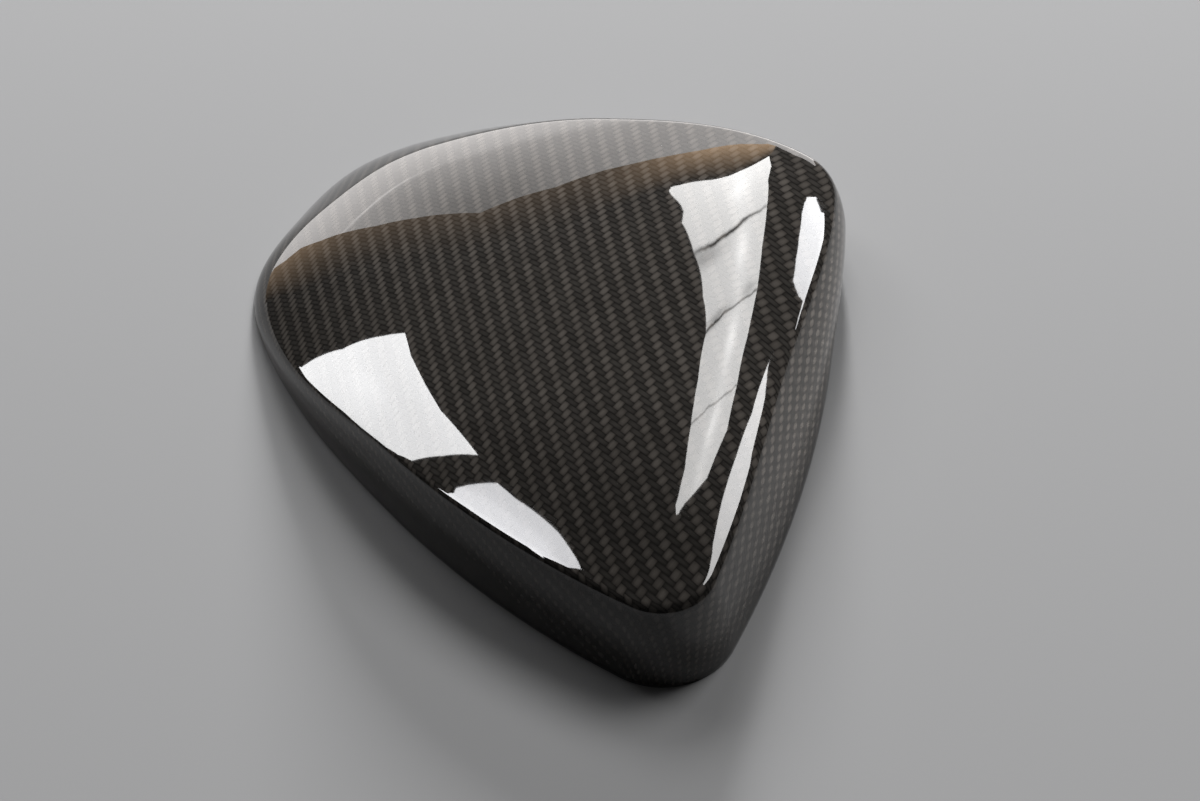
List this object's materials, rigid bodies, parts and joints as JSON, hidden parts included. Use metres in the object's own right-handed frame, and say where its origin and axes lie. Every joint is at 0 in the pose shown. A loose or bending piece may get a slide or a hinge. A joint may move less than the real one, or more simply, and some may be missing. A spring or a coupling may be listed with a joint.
{
  "type": "wing mirror cover",
  "caption": "Thin one-piece domed cover for a car's wing mirror housing, with a rounded-triangle plan, side walls and an open back.",
  "frame": {"origin": "bottom centre of the bounding box, in the plane of the open rim", "axes": "+Z from the rim plane towards the crown of the dome; -Y towards the narrow near corner; +X towards the side with the shoulder"},
  "size_m": [0.2076, 0.249, 0.0432],
  "materials": {
    "cover_shell": "carbon fibre twill under a thick clear gloss coat; matte dark cloth and resin on the hidden inside"
  },
  "bodies": {
    "root": {"cover_shell": "cover_shell"}
  },
  "joints": []
}
